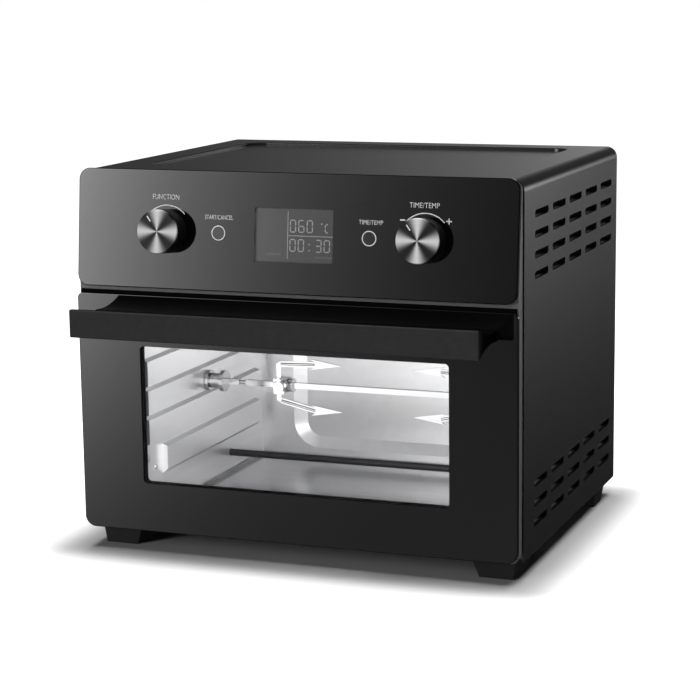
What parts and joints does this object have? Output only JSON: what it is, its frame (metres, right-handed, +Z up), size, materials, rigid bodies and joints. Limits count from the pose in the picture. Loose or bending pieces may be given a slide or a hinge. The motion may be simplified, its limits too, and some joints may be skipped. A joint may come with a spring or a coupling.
{
  "type": "air fryer oven",
  "caption": "Countertop air fryer oven with a glass drop-down door, bar handle, sloping control panel, knobs, display and a rotisserie spit with forks.",
  "frame": {"origin": "middle of the footprint's box, on the surface that the feet stand on", "axes": "+X to the right seen from the front, +Y from the front to the back, +Z up"},
  "size_m": [0.4, 0.389, 0.3382],
  "materials": {
    "painted_black": "satin powder coat, near black",
    "frame_grey": "satin moulded plastic, dark grey",
    "panel_black": "gloss black with printed marks",
    "smoked_lens": "smoked, polished",
    "glass_black": "toughened glass, printed black behind",
    "clear_glass": "clear toughened glass",
    "handle_black": "satin, near black",
    "knob_black": "fine-knurled, matt black",
    "knob_metal": "spun, dark anodised",
    "button_black": "gloss black with a white ring",
    "oven_steel": "bright aluminised sheet",
    "floor_steel": "grey coated steel, satin",
    "door_steel": "black enamel",
    "heater_dark": "dark oxidised sheath",
    "polished_steel": "plated, polished",
    "zinc_steel": "zinc plated",
    "motor_steel": "plain stamped steel",
    "fan_aluminium": "pressed sheet",
    "ceramic": "glazed ceramic",
    "board_green": "circuit board with components",
    "module_black": "moulded plastic",
    "black_plastic": "moulded plastic, fine grain",
    "seal_rubber": "silicone rubber"
  },
  "bodies": {
    "case": {"outer_wrap": "painted_black", "base_plate": "painted_black", "back_cover": "painted_black", "back_screws": "zinc_steel", "wall_spacers": "black_plastic", "cord_inlet": "black_plastic", "feet": "black_plastic", "front_frame": "frame_grey", "control_panel": "panel_black", "display_lens": "smoked_lens", "display_module": "module_black", "control_board": "board_green", "button_switches": "module_black", "encoders": "zinc_steel", "hinge_pins": "zinc_steel", "hinge_springs": "zinc_steel", "cavity_left_wall": "oven_steel", "cavity_right_wall": "oven_steel", "cavity_back": "oven_steel", "cavity_floor": "floor_steel", "cavity_ceiling": "oven_steel", "cavity_flange": "oven_steel", "crumb_tray": "floor_steel", "door_seal": "seal_rubber", "lower_heaters": "heater_dark", "heater_insulators": "ceramic", "upper_heater": "heater_dark", "fan_guard": "oven_steel", "fan_shroud": "zinc_steel", "fan_motor": "motor_steel", "rotisserie_motor": "motor_steel", "spit_support": "oven_steel", "power_board": "board_green", "thermal_cutout": "zinc_steel", "temperature_probe": "polished_steel"},
    "door": {"door_panel": "glass_black", "door_window": "clear_glass", "door_inner_frame": "door_steel", "inner_glass": "clear_glass", "inner_glass_gasket": "seal_rubber", "door_handle": "handle_black", "handle_screws": "zinc_steel", "hinge_arms": "door_steel"},
    "function_knob_body": {"function_knob": "knob_black", "function_knob_cap": "knob_metal", "function_shaft": "zinc_steel"},
    "time_temp_knob_body": {"time_temp_knob": "knob_black", "time_temp_knob_cap": "knob_metal", "time_temp_shaft": "zinc_steel"},
    "start_button_body": {"start_button": "button_black"},
    "time_temp_button_body": {"time_temp_button": "button_black"},
    "fan": {"hot_air_fan": "fan_aluminium", "cooling_fan": "fan_aluminium", "fan_shaft": "zinc_steel"},
    "spit": {"drive_socket": "polished_steel", "spit_rod": "polished_steel"},
    "left_fork_body": {"left_fork": "polished_steel"},
    "right_fork_body": {"right_fork": "polished_steel"},
    "left_screw_body": {"left_thumbscrew": "polished_steel"},
    "right_screw_body": {"right_thumbscrew": "polished_steel"}
  },
  "joints": [
    {"name": "door_hinge", "type": "hinge", "parent": "case", "child": "door", "pos_m": [0, -0.13645, 0.0215], "axis": [1, 0, 0], "range_deg": [0, 75]},
    {"name": "function_turn", "type": "hinge", "parent": "case", "child": "function_knob_body", "pos_m": [-0.1138, -0.13999, 0.28603], "axis": [0, -0.9946, 0.1042], "continuous": true},
    {"name": "time_temp_turn", "type": "hinge", "parent": "case", "child": "time_temp_knob_body", "pos_m": [0.1192, -0.13999, 0.28603], "axis": [0, -0.9946, 0.1042], "continuous": true},
    {"name": "start_press", "type": "slide", "parent": "case", "child": "start_button_body", "axis": [0, 0.9946, -0.1042], "range_m": [0, 0.0008], "stiffness_N_per_m": 600, "springref_m": -0.001},
    {"name": "time_temp_press", "type": "slide", "parent": "case", "child": "time_temp_button_body", "axis": [0, 0.9946, -0.1042], "range_m": [0, 0.0008], "stiffness_N_per_m": 600, "springref_m": -0.001},
    {"name": "fan_spin", "type": "hinge", "parent": "case", "child": "fan", "pos_m": [0, 0.00555, 0.24], "axis": [0, 0, 1], "continuous": true},
    {"name": "spit_turn", "type": "hinge", "parent": "case", "child": "spit", "pos_m": [0, 0.00105, 0.1275], "axis": [1, 0, 0], "continuous": true},
    {"name": "left_fork_slide", "type": "slide", "parent": "spit", "child": "left_fork_body", "axis": [1, 0, 0], "range_m": [-0.04, 0.03]},
    {"name": "right_fork_slide", "type": "slide", "parent": "spit", "child": "right_fork_body", "axis": [-1, 0, 0], "range_m": [-0.008, 0.03]},
    {"name": "left_screw_turn", "type": "hinge", "parent": "left_fork_body", "child": "left_screw_body", "pos_m": [-0.067, -0.00895, 0.1275], "axis": [0, -1, 0], "continuous": true},
    {"name": "right_screw_turn", "type": "hinge", "parent": "right_fork_body", "child": "right_screw_body", "pos_m": [0.117, -0.00895, 0.1275], "axis": [0, -1, 0], "continuous": true}
  ]
}
